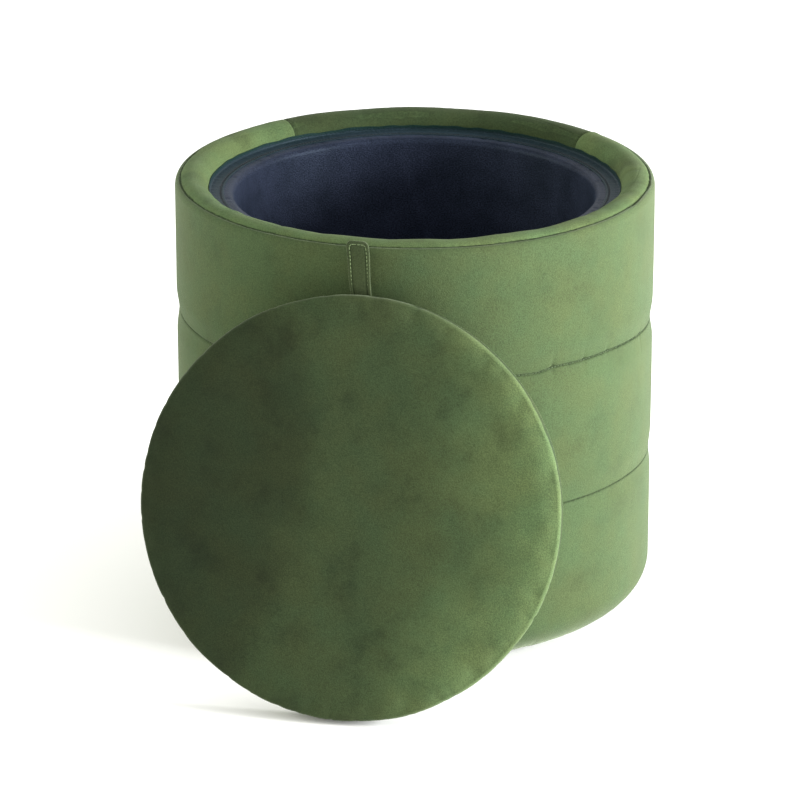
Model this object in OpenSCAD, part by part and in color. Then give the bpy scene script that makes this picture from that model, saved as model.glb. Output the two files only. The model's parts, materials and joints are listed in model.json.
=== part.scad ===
// Round storage ottoman: a padded drum in three sewn bands, a lined storage well,
// and a loose round lid with a pull tab, which leans against the drum's front.
// Millimetres, +Z up. The origin is the centre of the underside, on the floor.
// The lid leans on the -Y side; when seated it is level and concentric with the drum.

/* [Drum] */
// Outer diameter of the covered drum
drum_d = 400; // [330:5:520]
// Height of the covered drum, floor to the crown of the rim
drum_h = 373; // [310:1:520]
// Rounding of the padded edge at the foot
foot_round = 36; // [15:1:45]
// Rounding of the rim, outside and inside
rim_round = 9; // [6:0.5:12]
// Height of the seam between the lower and the middle band
seam_low_z = 138; // [90:1:165]
// Height of the seam between the middle and the upper band
seam_high_z = 258; // [200:1:290]
// Depth to which a band seam pulls into the padding
seam_depth = 2; // [1:0.25:3]
// Distance over which a band curves into its seam
seam_reach = 13; // [6:1:20]

/* [Padding and cloth] */
// Velvet with its sewn-on batting
cover_t = 3.6; // [3.2:0.1:5]
// Foam wrapped round the drum's shell
wall_foam_t = 17.2; // [10:0.2:25]
// Thin woven lining, one layer
lining_t = 0.6; // [0.4:0.1:1.2]
// Black dust cloth on the underside of drum and lid
dust_cloth_t = 0.8; // [0.5:0.1:1.2]

/* [Storage well] */
// Depth of the recess for the lid, from the rim's crown to the ledge board's top
recess_depth = 17.8; // [14:0.2:19]
// Width of the ledge that carries the lid, round the mouth of the storage well
ledge_w = 20.7; // [17:0.1:40]
// Width of the hemmed second layer of lining on the ledge
hem_w = 9.5; // [5:0.5:14]

/* [Drum frame] */
// Thickness of the round base board
base_t = 12; // [9:0.5:18]
// Thickness of the ledge board, the ring under the lid
ledge_t = 12; // [9:0.5:18]
// Thickness of the bent fibreboard shell
shell_t = 3; // [2:0.5:5]
// Thickness of the storage floor panel
floor_t = 3; // [2:0.5:6]
// Number of upright battens between base board and ledge board
batten_n = 8; // [5:1:12]
// Width of a batten, along the shell
batten_w = 22; // [16:1:30]
// Depth of a batten, across the wall
batten_depth = 18; // [14:1:20]
// Distance of the screws from the shell's inner face
screw_in = 13; // [11:0.5:13.5]

/* [Lid] */
// Radial clearance between the seated lid and the recess
lid_play = 1.2; // [0.6:0.1:2]
// Thickness of the covered lid
lid_t = 25; // [23:0.5:35]
// Rounding of the lid's top edge
lid_round = 10; // [6:0.5:14]
// Rounding of the lid's lower edge
lid_low_round = 3; // [2:0.5:4]
// Thickness of the lid's board
lid_board_t = 9; // [6:0.5:12]
// Velvet on the lid
lid_cover_t = 2; // [1.4:0.1:3]
// Width of the lid cover's turned-in margin
lid_margin_w = 21; // [16:1:50]
// Tilt of the leaning lid, away from upright
lean = 13.9; // [8:0.1:20]

/* [Pull tab] */
// Width of the pull tab
tab_w = 19; // [12:0.5:30]
// Thickness of the doubled strap
tab_t = 2.4; // [1.6:0.1:3]
// Distance of the strap's fold outside the drum's wall, with the lid seated
tab_clear = 4; // [3:0.5:8]
// Length of the free end past the fold
tab_end = 10; // [7:0.5:12]
// Length of the tail sewn in inside the lid
tab_tail = 12; // [8:1:20]
// Clearance of the strap over the rim's crown, with the lid seated
tab_lift = 2.4; // [1:0.1:3]
// Corner rounding of the free end
tab_corner = 4; // [2:0.5:6]

/* [Fasteners] */
// Shank radius of the wood screws
screw_r = 2.2; // [1.5:0.1:3]
// Head radius of the wood screws
screw_head_r = 4.4; // [3.5:0.1:6]
// Depth of the countersunk head
screw_head_h = 2.8; // [2:0.1:4]
// Length of the wood screws
screw_l = 40; // [30:1:60]
// Staples round each stapled edge
staple_n = 24; // [12:1:36]
// Width of a staple's crown
staple_w = 10; // [6:1:13]
// Wire of a staple
staple_wire = 0.6; // [0.4:0.1:0.8]
// Length of a staple's legs
staple_l = 9; // [6:1:10]

/* [Hidden] */
// Clearance between neighbouring pieces of one body
gap = 0.2;
// Clearance of the screws in their holes
screw_play = 0.1;
// Clearance of the leaning lid to the drum and to the floor
lean_gap = 0.5;
floor_gap = 0.3;
// Clearance under the seated lid
seat_gap = 0.4;
// Clearance at the strap's fold
fold_gap = 0.3;
$fn = 96;

drum_r = drum_d / 2;

// Underside: dust cloth, staple crowns, turned-in cover, base board
foot_z = dust_cloth_t + staple_wire;
base_z = foot_z + cover_t + gap;
base_top_z = base_z + base_t;
floor_z = base_top_z + gap;
lining_floor_z = floor_z + floor_t + gap;
dust_cloth_r = drum_r - foot_round - 8;
margin_r = dust_cloth_r - 16;

// Wall, from the outside in
foam_r = drum_r - cover_t - gap;
shell_r = foam_r - wall_foam_t;
shell_in_r = shell_r - shell_t;
frame_r = shell_in_r - gap;
screw_ring_r = frame_r - screw_in;
recess_r = frame_r - cover_t;
mouth_r = recess_r - ledge_w;
lining_r = mouth_r + lining_t;
ledge_in_r = lining_r + gap;

// The foot's rounding, and the height of its inner side at radius r
foot_centre = [drum_r - foot_round, foot_z + foot_round];
foot_in_round = foot_round - cover_t - gap;
function foot_in_z(r) =
    foot_centre[1] - sqrt(pow(foot_in_round, 2) - pow(max(0, r - foot_centre[0]), 2));

// Rim, from the crown down
crown_z = drum_h;
round_z = crown_z - rim_round;
ledge_top_z = crown_z - recess_depth;
ledge_z = ledge_top_z - ledge_t;
lining_ledge_z = ledge_top_z + gap;
hem_z = lining_ledge_z + lining_t + staple_wire;
hem_out_r = recess_r - 0.4;
seat_z = hem_z + lining_t + seat_gap;

// Lid
lid_r = recess_r - lid_play;
margin_z = dust_cloth_t + staple_wire;
lid_board_z = margin_z + lid_cover_t + gap;
lid_foam_z = lid_board_z + lid_board_t + gap;
lid_core_r = lid_r - lid_cover_t - gap;
lid_margin_r = lid_r - lid_margin_w;
lid_cloth_r = lid_margin_r + 12;
tab_fold_y = drum_r + tab_clear;
tab_z = crown_z + tab_lift + tab_t / 2 - seat_z;

// The leaning lid: the centre of its underside, up and out along -Y. Its top edge
// leans on the drum's wall, or on a low drum its underside leans on the rim.
low_reach = lid_r - lid_low_round;
low_h = margin_z + lid_low_round;
lean_up = floor_gap + lid_low_round + low_reach * cos(lean) - low_h * sin(lean);
wall_out = drum_r + lean_gap + lid_low_round + low_reach * sin(lean) - low_h * cos(lean);
rim_out = drum_r - rim_round
    + (rim_round + lean_gap - sin(lean) * (lean_up - round_z)) / cos(lean);
lean_out = lean_up + lid_r * cos(lean) < round_z ? wall_out : rim_out;

velvet = [0.40, 0.50, 0.32];
velvet_lid = [0.30, 0.40, 0.25];
navy = [0.10, 0.11, 0.17];
black_cloth = [0.08, 0.08, 0.09];
board = [0.75, 0.63, 0.46];
plywood = [0.82, 0.70, 0.52];
foam = [0.93, 0.91, 0.80];
steel = [0.70, 0.71, 0.73];

// ---- Shapes that repeat ----

// Points along an arc in the half plane of a rotate_extrude
function arc(centre, r, from, to, steps = 8) =
    [for (i = [0:steps])
        let (a = from + (to - from) * i / steps)
        centre + r * [cos(a), sin(a)]];

// A flat ring
module ring(out_r, in_r, z, t) {
    translate([0, 0, z])
        difference() {
            cylinder(r = out_r, h = t);
            translate([0, 0, -1]) cylinder(r = in_r, h = t + 2);
        }
}

// Copies the child n times round the axis, at radius r, facing outwards
module around(n, r, first = 0) {
    for (i = [0:n - 1])
        rotate([0, 0, first + i * 360 / n])
            translate([r, 0, 0])
                children();
}

// Countersunk wood screw: head's flat face at z 0, point upwards
module screw(play = 0) {
    rotate_extrude()
        polygon([
            [0, 0], [screw_head_r + play, 0], [screw_r + play, screw_head_h],
            [screw_r + play, screw_l - 4], [0, screw_l + play]
        ]);
}

// Staple: crown's outer face at z 0, legs upwards, crown along Y
module staple() {
    translate([-staple_wire, -staple_w / 2, 0])
        cube([2 * staple_wire, staple_w, staple_wire]);
    for (side = [-1, 1])
        translate([-staple_wire / 2, side * (staple_w - staple_wire) / 2 - staple_wire / 2, 0])
            cube([staple_wire, staple_wire, staple_l]);
}

// Puts a piece that is modelled on the level lid where it leans
module leaning() {
    translate([0, -lean_out, lean_up])
        rotate([90 - lean, 0, 0])
            children();
}

// Outer outline of a band's side, upwards from z0 to z1, pulled in at a sewn end
function eased(s) = seam_depth * (1 + cos(180 * s)) / 2;
function band_side(z0, z1, sewn_low, sewn_high) = concat(
    sewn_low
        ? [for (i = [0:5]) [drum_r - eased(i / 5), z0 + seam_reach * i / 5]]
        : [[drum_r, z0]],
    sewn_high
        ? [for (i = [5:-1:0]) [drum_r - eased(i / 5), z1 - seam_reach * i / 5]]
        : [[drum_r, z1]]
);

// ---- Drum frame ----

module dust_cloth() {
    color(black_cloth)
        cylinder(r = dust_cloth_r, h = dust_cloth_t);
}

module batten_holes(z, down = false) {
    around(batten_n, screw_ring_r)
        translate([0, 0, z])
            mirror([0, 0, down ? 1 : 0])
                screw(screw_play);
}

// Its lower edge is bevelled, to lie inside the rounded foot
module base_board() {
    color(board)
        difference() {
            rotate_extrude()
                polygon([
                    [0, base_z], [min(foot_centre[0], frame_r - 1), base_z],
                    [frame_r, foot_in_z(frame_r)], [frame_r, base_top_z], [0, base_top_z]
                ]);
            batten_holes(base_z);
        }
}

module floor_panel() {
    color(board)
        translate([0, 0, floor_z])
            cylinder(r = mouth_r - gap, h = floor_t);
}

module battens() {
    top = ledge_z - gap;
    low = base_top_z + gap;
    // set in from the shell by the sagitta of the batten's flat back
    back = sqrt(pow(frame_r, 2) - pow(batten_w / 2, 2));
    color(plywood)
        difference() {
            around(batten_n, back - batten_depth)
                translate([0, -batten_w / 2, low])
                    cube([batten_depth, batten_w, top - low]);
            batten_holes(base_z);
            batten_holes(ledge_top_z, down = true);
        }
}

module ledge_board() {
    color(plywood)
        difference() {
            ring(frame_r, ledge_in_r, ledge_z, ledge_t);
            batten_holes(ledge_top_z, down = true);
        }
}

module drum_shell() {
    color(board)
        ring(shell_r, shell_in_r, foot_in_z(shell_r), round_z - foot_in_z(shell_r));
}

module base_screws() {
    color(steel)
        around(batten_n, screw_ring_r)
            translate([0, 0, base_z])
                screw();
}

module ledge_screws() {
    color(steel)
        around(batten_n, screw_ring_r)
            translate([0, 0, ledge_top_z])
                mirror([0, 0, 1])
                    screw();
}

// ---- Drum padding ----

module wall_foam() {
    in_r = shell_r + gap;
    past_centre = max(0, in_r - foot_centre[0]);
    color(foam)
        rotate_extrude()
            polygon(concat(
                in_r < foot_centre[0] ? [[in_r, base_z]] : [],
                arc(foot_centre, foot_in_round, -acos(past_centre / foot_in_round), 0, 10),
                [[foam_r, ledge_z - gap], [in_r, ledge_z - gap]]
            ));
}

module rim_foam() {
    inner_round = rim_round - cover_t - gap;
    color(foam)
        rotate_extrude()
            polygon(concat(
                [[shell_r + gap, ledge_z], [foam_r, ledge_z]],
                arc([drum_r - rim_round, round_z], inner_round, 0, 90, 4),
                arc([recess_r + rim_round, round_z], inner_round, 90, 180, 4),
                [[recess_r + cover_t + gap, round_z + gap], [shell_r + gap, round_z + gap]]
            ));
}

// ---- Drum cover ----

module cover_lower_band() {
    color(velvet)
        rotate_extrude()
            polygon(concat(
                [[margin_r, foot_z]],
                arc(foot_centre, foot_round, -90, 0, 12),
                band_side(foot_z + foot_round, seam_low_z - gap / 2, false, true),
                [[drum_r - cover_t, seam_low_z - gap / 2]],
                arc(foot_centre, foot_round - cover_t, 0, -90, 12),
                [[margin_r, foot_z + cover_t]]
            ));
}

module cover_middle_band() {
    low = seam_low_z + gap / 2;
    high = seam_high_z - gap / 2;
    color(velvet)
        rotate_extrude()
            polygon(concat(
                band_side(low, high, true, true),
                [[drum_r - cover_t, high], [drum_r - cover_t, low]]
            ));
}

// The upper band ends at the rim seam, halfway round the rim's outer rounding
module cover_upper_band() {
    low = seam_high_z + gap / 2;
    centre = [drum_r - rim_round, round_z];
    color(velvet)
        rotate_extrude()
            polygon(concat(
                band_side(low, round_z, true, false),
                arc(centre, rim_round, 0, 44, 5),
                arc(centre, rim_round - cover_t, 44, 0, 5),
                [[drum_r - cover_t, low]]
            ));
}

module rim_cover() {
    out = [drum_r - rim_round, round_z];
    in = [recess_r + rim_round, round_z];
    color(velvet)
        rotate_extrude()
            polygon(concat(
                arc(out, rim_round, 46, 90, 5),
                arc(in, rim_round, 90, 180),
                [[recess_r, ledge_top_z + gap], [recess_r + cover_t, ledge_top_z + gap]],
                arc(in, rim_round - cover_t, 180, 90),
                arc(out, rim_round - cover_t, 90, 46, 5)
            ));
}

module cover_staples() {
    color(steel)
        around(staple_n, margin_r + 6)
            translate([0, 0, dust_cloth_t])
                staple();
}

// ---- Lining ----

module lining_wall() {
    color(navy)
        ring(lining_r, mouth_r, lining_floor_z, ledge_top_z - lining_floor_z);
}

module lining_floor() {
    color(navy)
        translate([0, 0, lining_floor_z])
            cylinder(r = mouth_r - gap, h = lining_t);
}

module lining_ledge() {
    color(navy)
        ring(hem_out_r, mouth_r, lining_ledge_z, lining_t);
}

module lining_hem() {
    color(navy)
        ring(hem_out_r, hem_out_r - hem_w, hem_z, lining_t);
}

module lining_staples() {
    color(steel)
        around(staple_n, hem_out_r - hem_w / 2)
            translate([0, 0, hem_z])
                mirror([0, 0, 1])
                    staple();
}

// ---- Lid ----

module tab_slot() {
    translate([-tab_w / 2 - gap, lid_r - tab_tail - gap, tab_z - tab_t / 2 - gap])
        cube([tab_w + 2 * gap, tab_tail + lid_round, tab_t + 2 * gap]);
}

module lid_board() {
    color(board)
        leaning()
            translate([0, 0, lid_board_z])
                cylinder(r = lid_core_r, h = lid_board_t);
}

module lid_foam() {
    core_round = lid_round - lid_cover_t - gap;
    color(foam)
        leaning()
            difference() {
                rotate_extrude()
                    polygon(concat(
                        [[0, lid_foam_z], [lid_core_r, lid_foam_z]],
                        arc([lid_r - lid_round, lid_t - lid_round], core_round, 0, 90),
                        [[0, lid_t - lid_cover_t - gap]]
                    ));
                tab_slot();
            }
}

module lid_cover() {
    low = [lid_r - lid_low_round, margin_z + lid_low_round];
    high = [lid_r - lid_round, lid_t - lid_round];
    color(velvet_lid)
        leaning()
            difference() {
                rotate_extrude()
                    polygon(concat(
                        [[lid_margin_r, margin_z]],
                        arc(low, lid_low_round, -90, 0, 5),
                        arc(high, lid_round, 0, 90, 10),
                        [[0, lid_t], [0, lid_t - lid_cover_t]],
                        arc(high, lid_round - lid_cover_t, 90, 0, 10),
                        [[lid_r - lid_cover_t, margin_z + lid_cover_t],
                         [lid_margin_r, margin_z + lid_cover_t]]
                    ));
                tab_slot();
            }
}

module lid_dust_cloth() {
    color(black_cloth)
        leaning()
            cylinder(r = lid_cloth_r, h = dust_cloth_t);
}

module lid_staples() {
    color(steel)
        leaning()
            around(staple_n, lid_margin_r + 6)
                translate([0, 0, dust_cloth_t])
                    staple();
}

// ---- Pull tab ----

// The part that stays in line with the lid, from its sewn-in tail to the fold
module pull_tab() {
    start = lid_r - tab_tail;
    color(velvet_lid)
        leaning()
            translate([-tab_w / 2, start, tab_z - tab_t / 2])
                cube([tab_w, tab_fold_y - tab_t / 2 - fold_gap - start, tab_t]);
}

// The free end past the fold: upright when the lid leans, with a round fold barrel
module pull_tab_end() {
    color(velvet_lid)
        leaning()
            translate([0, tab_fold_y, tab_z])
                rotate([lean, 0, 0]) {
                    rotate([0, 90, 0])
                        cylinder(r = tab_t / 2, h = tab_w, center = true);
                    translate([0, 0, -tab_t / 2])
                        linear_extrude(tab_t)
                            tab_end_outline();
                }
}

module tab_end_outline() {
    half = tab_w / 2;
    polygon(concat(
        [[-half, 0], [half, 0]],
        arc([half - tab_corner, tab_end - tab_corner], tab_corner, 0, 90),
        arc([-half + tab_corner, tab_end - tab_corner], tab_corner, 90, 180)
    ));
}

dust_cloth();
base_board();
floor_panel();
battens();
ledge_board();
drum_shell();
wall_foam();
rim_foam();
cover_lower_band();
cover_middle_band();
cover_upper_band();
rim_cover();
lining_wall();
lining_floor();
lining_ledge();
lining_hem();
base_screws();
ledge_screws();
cover_staples();
lining_staples();
lid_board();
lid_foam();
lid_cover();
lid_dust_cloth();
lid_staples();
pull_tab();
pull_tab_end();
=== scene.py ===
"""Round velvet storage ottoman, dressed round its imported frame.

A padded drum in three sewn bands with a lined well, and a loose round lid that leans
against it by its pull tab. Everything is in metres, +Z up, in the frame's own axes.
"""
import json
import math

import bpy
import numpy as np
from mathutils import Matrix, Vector


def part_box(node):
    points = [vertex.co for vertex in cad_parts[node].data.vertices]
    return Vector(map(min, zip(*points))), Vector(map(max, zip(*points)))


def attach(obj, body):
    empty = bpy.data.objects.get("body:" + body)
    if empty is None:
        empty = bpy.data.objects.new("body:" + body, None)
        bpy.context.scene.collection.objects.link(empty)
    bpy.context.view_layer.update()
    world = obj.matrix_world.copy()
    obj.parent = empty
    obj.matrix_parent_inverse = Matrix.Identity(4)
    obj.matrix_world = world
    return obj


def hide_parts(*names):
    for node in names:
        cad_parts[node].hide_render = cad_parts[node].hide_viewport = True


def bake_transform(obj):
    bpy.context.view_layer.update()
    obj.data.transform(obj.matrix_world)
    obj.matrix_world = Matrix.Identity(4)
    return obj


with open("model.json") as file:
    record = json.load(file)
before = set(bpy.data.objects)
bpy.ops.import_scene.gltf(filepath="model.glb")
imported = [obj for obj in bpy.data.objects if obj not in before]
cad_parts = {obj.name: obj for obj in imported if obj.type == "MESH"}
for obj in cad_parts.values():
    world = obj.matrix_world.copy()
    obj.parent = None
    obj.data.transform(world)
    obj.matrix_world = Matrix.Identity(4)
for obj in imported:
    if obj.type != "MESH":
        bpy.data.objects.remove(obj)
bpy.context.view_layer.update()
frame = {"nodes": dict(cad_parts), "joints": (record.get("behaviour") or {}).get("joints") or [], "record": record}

TAU = 2 * math.pi


# ---------------------------------------------------------------- sizes

def box(node):
    """Lowest and highest corner of a node, as arrays."""
    low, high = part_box(node)
    return np.array(low), np.array(high)


def half_width(node):
    """How far a node reaches from the drum's axis, or from the lid's middle, to its right."""
    return float(box(node)[1][0])


drum_r = half_width("cover_middle_band")
rim_top = float(box("rim_cover")[1][2])
recess_floor = float(box("lining_hem")[1][2])
hem_r = half_width("lining_hem")
recess_r = hem_r + 0.0004
mouth_r = half_width("lining_floor") + 0.0002
well_floor = float(box("lining_floor")[1][2])
seam_low, seam_high = (float(corner[2]) for corner in box("cover_middle_band"))
foot_low = float(box("cover_lower_band")[0][2])
cloth_r = half_width("dust_cloth")
cloth_top = float(box("dust_cloth")[1][2])
cloth_low = 0.0002
rim_round = 0.009
foot_round = 0.036
cover_t = 0.0036
lining_t = 0.0006

# The lid leans by what is left of a right angle after its two hinges have laid it level
carry = math.radians(frame["joints"][0]["range_deg"][1])
fold_ratio = frame["record"]["behaviour"]["couplings"][0]["ratio"]
lean = math.pi / 2 - carry * (1 - fold_ratio)
lid_r = half_width("lid_cover") + 0.0008
lid_t = 0.025
lid_low = 0.0014
lid_waist = 0.013
lid_board_mid = 0.0081
lid_up = np.array([0, -math.cos(lean), math.sin(lean)])
lid_back = np.array([0, math.sin(lean), math.cos(lean)])
lid_centre = np.mean(box("lid_board"), axis=0) - lid_board_mid * lid_up
# Height at which the painted shade across the lid is darkest from top to bottom
lid_middle_z = 0.19


def leaning(points):
    """Carries points of the level lid (x, y, height over its underside) to where it leans."""
    points = np.asarray(points)
    return (lid_centre + points[..., 0:1] * np.array([1.0, 0, 0])
            + points[..., 1:2] * lid_back + points[..., 2:3] * lid_up)


# ---------------------------------------------------------------- camera, light, floor

scene = bpy.context.scene
scene.view_settings.view_transform = "Standard"

view_azimuth = math.radians(11.56)
view_distance = 3.6765
view_height = 1.5118
look_height = 0.170
look_left = 0.0124

camera_data = bpy.data.cameras.new("camera")
camera_data.lens = 207.57
camera_data.sensor_width = 36
camera_data.clip_end = 60
camera = bpy.data.objects.new("camera", camera_data)
scene.collection.objects.link(camera)
camera.location = (view_distance * math.sin(view_azimuth),
                   -view_distance * math.cos(view_azimuth), view_height)
look_at = Vector((-look_left * math.cos(view_azimuth), -look_left * math.sin(view_azimuth),
                  look_height))
camera.rotation_euler = (look_at - camera.location).to_track_quat("-Z", "Y").to_euler()
scene.camera = camera


def area_light(name, place, size, power, colour=(1, 1, 1)):
    """A square softbox at place, aimed at the ottoman's middle."""
    data = bpy.data.lights.new(name, "AREA")
    data.size = size
    data.energy = power
    data.color = colour
    lamp = bpy.data.objects.new(name, data)
    scene.collection.objects.link(lamp)
    lamp.location = place
    lamp.rotation_euler = (Vector((0, 0, 0.2)) - lamp.location).to_track_quat("-Z", "Y").to_euler()


def around_view(azimuth, distance, height):
    """A place at an angle to the right of the camera's own direction, seen from above."""
    angle = view_azimuth + math.radians(azimuth)
    return (distance * math.sin(angle), -distance * math.cos(angle), height)


area_light("key_right", around_view(73, 2.8, 0.66), 1.1, 285)
area_light("fill_left", around_view(-86, 2.8, 1.0), 1.6, 60, (1.0, 1.0, 0.80))

world = bpy.data.worlds.new("studio")
scene.world = world
world.use_nodes = True
backdrop = world.node_tree.nodes["Background"]
backdrop.inputs["Color"].default_value = (1, 1, 1, 1)
backdrop.inputs["Strength"].default_value = 1.05


# ---------------------------------------------------------------- mesh helpers

def make_piece(name, points, faces, uv=None, crush_and_shade=None):
    """A smooth mesh object from an array of points and an array of faces with four corners each, or
    with -1 in place of a missing fourth corner. uv has one row for each point, and the mark after it
    says how dark the pile is made at each point, from 0 to 1: pressed down at a seam, or painted
    with shade."""
    mesh = bpy.data.meshes.new(name)
    loops = faces[faces >= 0]
    counts = (faces >= 0).sum(axis=1)
    mesh.vertices.add(len(points))
    mesh.vertices.foreach_set("co", np.asarray(points, np.float32).ravel())
    mesh.loops.add(len(loops))
    mesh.loops.foreach_set("vertex_index", loops.astype(np.int32))
    mesh.polygons.add(len(faces))
    mesh.polygons.foreach_set("loop_start", (np.cumsum(counts) - counts).astype(np.int32))
    mesh.update(calc_edges=True)
    mesh.polygons.foreach_set("use_smooth", np.full(len(faces), True))
    if uv is not None:
        layer = mesh.uv_layers.new(name="cloth")
        layer.data.foreach_set("uv", np.asarray(uv, np.float32)[loops].ravel())
    if crush_and_shade is not None:
        mark = mesh.attributes.new("crush_and_shade", "FLOAT", "POINT")
        mark.data.foreach_set("value", np.clip(np.asarray(crush_and_shade, np.float32).ravel(), 0, 1))
    mesh.validate()
    piece = bpy.data.objects.new(name, mesh)
    scene.collection.objects.link(piece)
    return piece


def ring_faces(turns, steps):
    """Quads of a grid that closes on itself both ways, point index = turn * steps + step."""
    i = np.arange(turns)[:, None]
    j = np.arange(steps)[None, :]
    ni, nj = (i + 1) % turns, (j + 1) % steps
    here, after = i * steps, ni * steps
    return np.stack([here + j, after + j, after + nj, here + nj], -1).reshape(-1, 4)


def capped_faces(turns, steps):
    """Quads of a grid that closes round the axis and runs from pole to pole, with triangles at the
    poles. The poles are the last two points, the first one before step 0."""
    i = np.arange(turns)
    j = np.arange(steps - 1)
    ni = (i + 1) % turns
    a = i[:, None] * steps + j
    b = ni[:, None] * steps + j
    quads = np.stack([a, b, b + 1, a + 1], -1).reshape(-1, 4)
    start, end = turns * steps, turns * steps + 1
    none = np.full(turns, -1)
    first = np.stack([np.full(turns, start), ni * steps, i * steps, none], -1)
    last = np.stack([np.full(turns, end), i * steps + steps - 1, ni * steps + steps - 1, none], -1)
    return np.vstack([quads, first, last])


def arc(centre, radius, start, end, count):
    """Points at even angles on an arc in the half plane, from start to end in degrees."""
    a = np.radians(np.linspace(start, end, count))
    return np.stack([centre[0] + radius * np.cos(a), centre[1] + radius * np.sin(a)], -1)


def line(a, b, count):
    """Even points from a to b, without b."""
    t = np.linspace(0, 1, count, endpoint=False)[:, None]
    return np.asarray(a) * (1 - t) + np.asarray(b) * t


def lengths(profile):
    """Distance along a profile at each of its points."""
    step = np.hypot(*np.diff(profile, axis=0).T)
    return np.concatenate([[0], np.cumsum(step)])


def angles(turns):
    """Even angles once round the axis."""
    return np.arange(turns) * TAU / turns


def turn_between(theta, start):
    """Angle from start to theta, from minus half a turn to half a turn."""
    return (np.asarray(theta) - start + math.pi) % TAU - math.pi


def waves(theta, seed, counts):
    """Smooth random curve round the drum: a sum of cosines with the given whole counts of waves,
    each with a random height and start, scaled to about plus or minus one."""
    rng = np.random.default_rng(seed)
    height = rng.normal(size=len(counts))
    start = rng.uniform(0, TAU, len(counts))
    total = (height * np.cos(np.asarray(theta)[..., None] * np.asarray(counts) + start)).sum(-1)
    return total / max(1e-9, np.sqrt((height ** 2).sum() / 2) * 1.6)


def creases(theta, seed, count, width):
    """Random narrow dips round a seam: a sum of bell curves at random angles, widths and depths,
    width being the usual half width as an angle."""
    rng = np.random.default_rng(seed)
    at = (np.arange(count) + rng.uniform(-0.42, 0.42, count)) * TAU / count
    wide = width * rng.uniform(0.6, 1.6, count)
    deep = rng.uniform(0.15, 1.0, count) ** 1.6
    gap = turn_between(np.asarray(theta)[:, None], at)
    return (deep * np.exp(-(gap / wide) ** 2)).sum(-1)


def cloth_uv(theta, s, radius):
    """Cloth coordinates in metres: arc length round the drum, and length along the profile."""
    u = np.broadcast_to(theta[:, None] * radius, (len(theta), len(s)))
    v = np.broadcast_to(s[None, :], u.shape)
    return np.stack([u, v], -1).reshape(-1, 2)


def round_axis(theta, r, z):
    """Points at radii r and heights z, one row of them for each angle."""
    x, y = r * np.cos(theta)[:, None], r * np.sin(theta)[:, None]
    return np.stack([x, y, z], -1).reshape(-1, 3)


def carried(theta, profile, shift):
    """Radius and height of each profile point at each angle. shift(theta, profile), where there is
    one, gives the extra radius and height."""
    r, z = (np.tile(column, (len(theta), 1)) for column in profile.T)
    if shift is not None:
        dr, dz = shift(theta, profile)
        r += dr
        z += dz
    return r, z


def turned_ring(name, profile, turns, shift, crush_and_shade):
    """Closed ring: the profile (radius, height), counter-clockwise, is carried round the axis, and the
    last argument, called with (theta, profile), says how dark the pile is made there: pressed down,
    or painted with shade."""
    theta = angles(turns)
    r, z = carried(theta, profile, shift)
    marks = np.broadcast_to(crush_and_shade(theta, profile), r.shape)
    uv = cloth_uv(theta, lengths(profile), float(profile[:, 0].mean()))
    return make_piece(name, round_axis(theta, r, z), ring_faces(turns, len(profile)), uv, marks)


def turned_disc(name, profile, turns, shift=None, place=None):
    """Closed disc: the profile (radius, height) runs from the axis below, out and back to the axis
    above. Its two ends become poles, at the mean height of the rows next to them. place moves the
    points of the level disc."""
    theta = angles(turns)
    rows = profile[1:-1]
    r, z = carried(theta, rows, shift)
    points = np.vstack([round_axis(theta, r, z), [[0, 0, z[:, 0].mean()], [0, 0, z[:, -1].mean()]]])
    along = lengths(rows)
    uv = np.vstack([cloth_uv(theta, along, mouth_r), [[0, 0], [0, along[-1]]]])
    if place is not None:
        points = place(points)
    return make_piece(name, points, capped_faces(turns, len(rows)), uv)


def stitches(name, middles, ways, outs, length, thick):
    """A row of sewn stitches: short flat spindles of thread, each lying along its way and standing
    up along its out direction by half its width. The three arrays have one row a stitch."""
    rings, sides = 4, 6
    t = np.linspace(-0.5, 0.5, rings)
    swell = 1 - 0.35 * (2 * t) ** 2
    a = np.arange(sides) * TAU / sides
    side = np.cross(ways, outs)
    along = middles[:, None, None] + ways[:, None, None] * (t * length)[None, :, None, None]
    across = (side[:, None, None] * np.cos(a)[None, None, :, None]
              + outs[:, None, None] * 0.5 * np.sin(a)[None, None, :, None])
    points = (along + across * (swell * thick / 2)[None, :, None, None]).reshape(-1, 3)
    block = rings * sides
    i = np.arange(rings - 1)[:, None]
    j = np.arange(sides)[None, :]
    nj = (j + 1) % sides
    here, after = i * sides, (i + 1) * sides
    tube = np.stack([after + j, after + nj, here + nj, here + j], -1).reshape(-1, 4)
    near_cap = np.array([[1, 2, 3, 0], [3, 4, 5, 0]])
    far_cap = np.array([[3, 2, 1, 0], [5, 4, 3, 0]]) + (rings - 1) * sides
    one = np.vstack([tube, near_cap, far_cap])
    faces = (one[None] + (np.arange(len(middles)) * block)[:, None, None]).reshape(-1, 4)
    return make_piece(name, points, faces)


def ring_stitches(name, radius, height, pitch, length, thick, out=(1.0, 0.0), wander=None):
    """Stitches all round the axis at a radius and height, standing out along (radial, up)."""
    count = int(TAU * radius / pitch)
    theta = angles(count)
    lift = 0 if wander is None else wander(theta)
    cos, sin = np.cos(theta), np.sin(theta)
    middles = np.stack([radius * cos, radius * sin, height + lift + 0 * theta], -1)
    ways = np.stack([-sin, cos, 0 * theta], -1)
    outs = np.stack([out[0] * cos, out[0] * sin, out[1] + 0 * theta], -1)
    return stitches(name, middles, ways, outs, length, thick)


# ---------------------------------------------------------------- materials

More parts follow.
